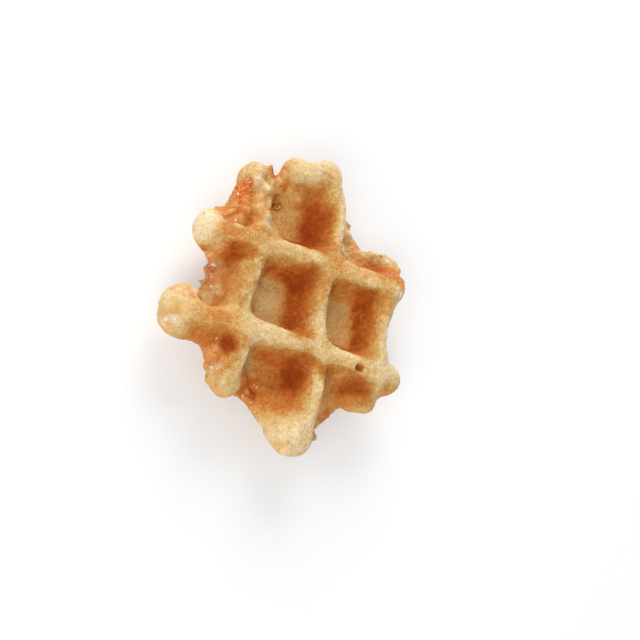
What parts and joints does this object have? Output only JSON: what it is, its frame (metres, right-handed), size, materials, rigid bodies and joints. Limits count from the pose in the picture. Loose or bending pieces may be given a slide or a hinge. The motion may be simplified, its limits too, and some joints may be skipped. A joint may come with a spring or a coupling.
{
  "type": "mini sugar waffle",
  "caption": "Small irregular yeast-dough sugar waffle with a deep ridge grid on both faces, rounded knobs at its edge and torn, caramelised crust.",
  "frame": {"origin": "on the surface that the waffle rests on, under the middle of its outline", "axes": "+Z out of the shown face, +Y along the longer ridges, +X along the shorter ridges"},
  "size_m": [0.0632, 0.0732, 0.0162],
  "materials": {
    "baked_crust": "matte, golden to brown, with a few glossy caramel spots"
  },
  "bodies": {
    "root": {"waffle": "baked_crust"}
  },
  "joints": []
}
